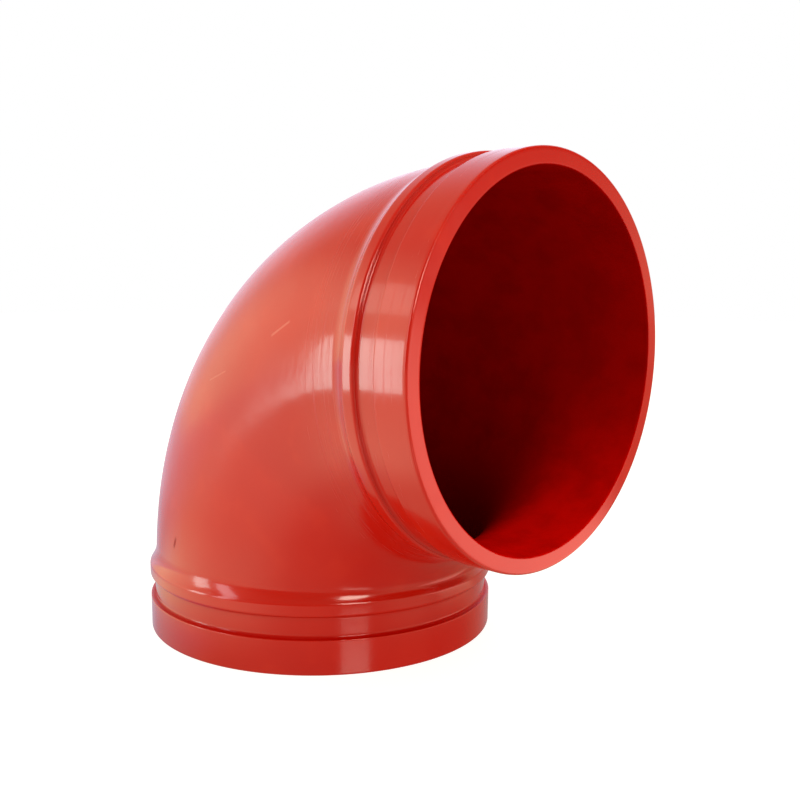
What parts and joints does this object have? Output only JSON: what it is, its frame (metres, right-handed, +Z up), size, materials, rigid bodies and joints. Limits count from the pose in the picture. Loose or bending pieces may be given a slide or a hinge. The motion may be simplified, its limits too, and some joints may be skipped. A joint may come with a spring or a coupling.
{
  "type": "grooved elbow",
  "caption": "Short-radius right-angle pipe bend cast in one piece, painted red, with a grooved end for a clamped coupling on each limb.",
  "frame": {"origin": "centre of the lower end face", "axes": "+Z up along the lower end's axis, +X along the side end's axis and out of it, +Y across the bend"},
  "size_m": [0.2182, 0.1684, 0.2182],
  "materials": {
    "red_paint": "glossy orange-red paint on cast iron"
  },
  "bodies": {
    "root": {"elbow": "red_paint"}
  },
  "joints": []
}
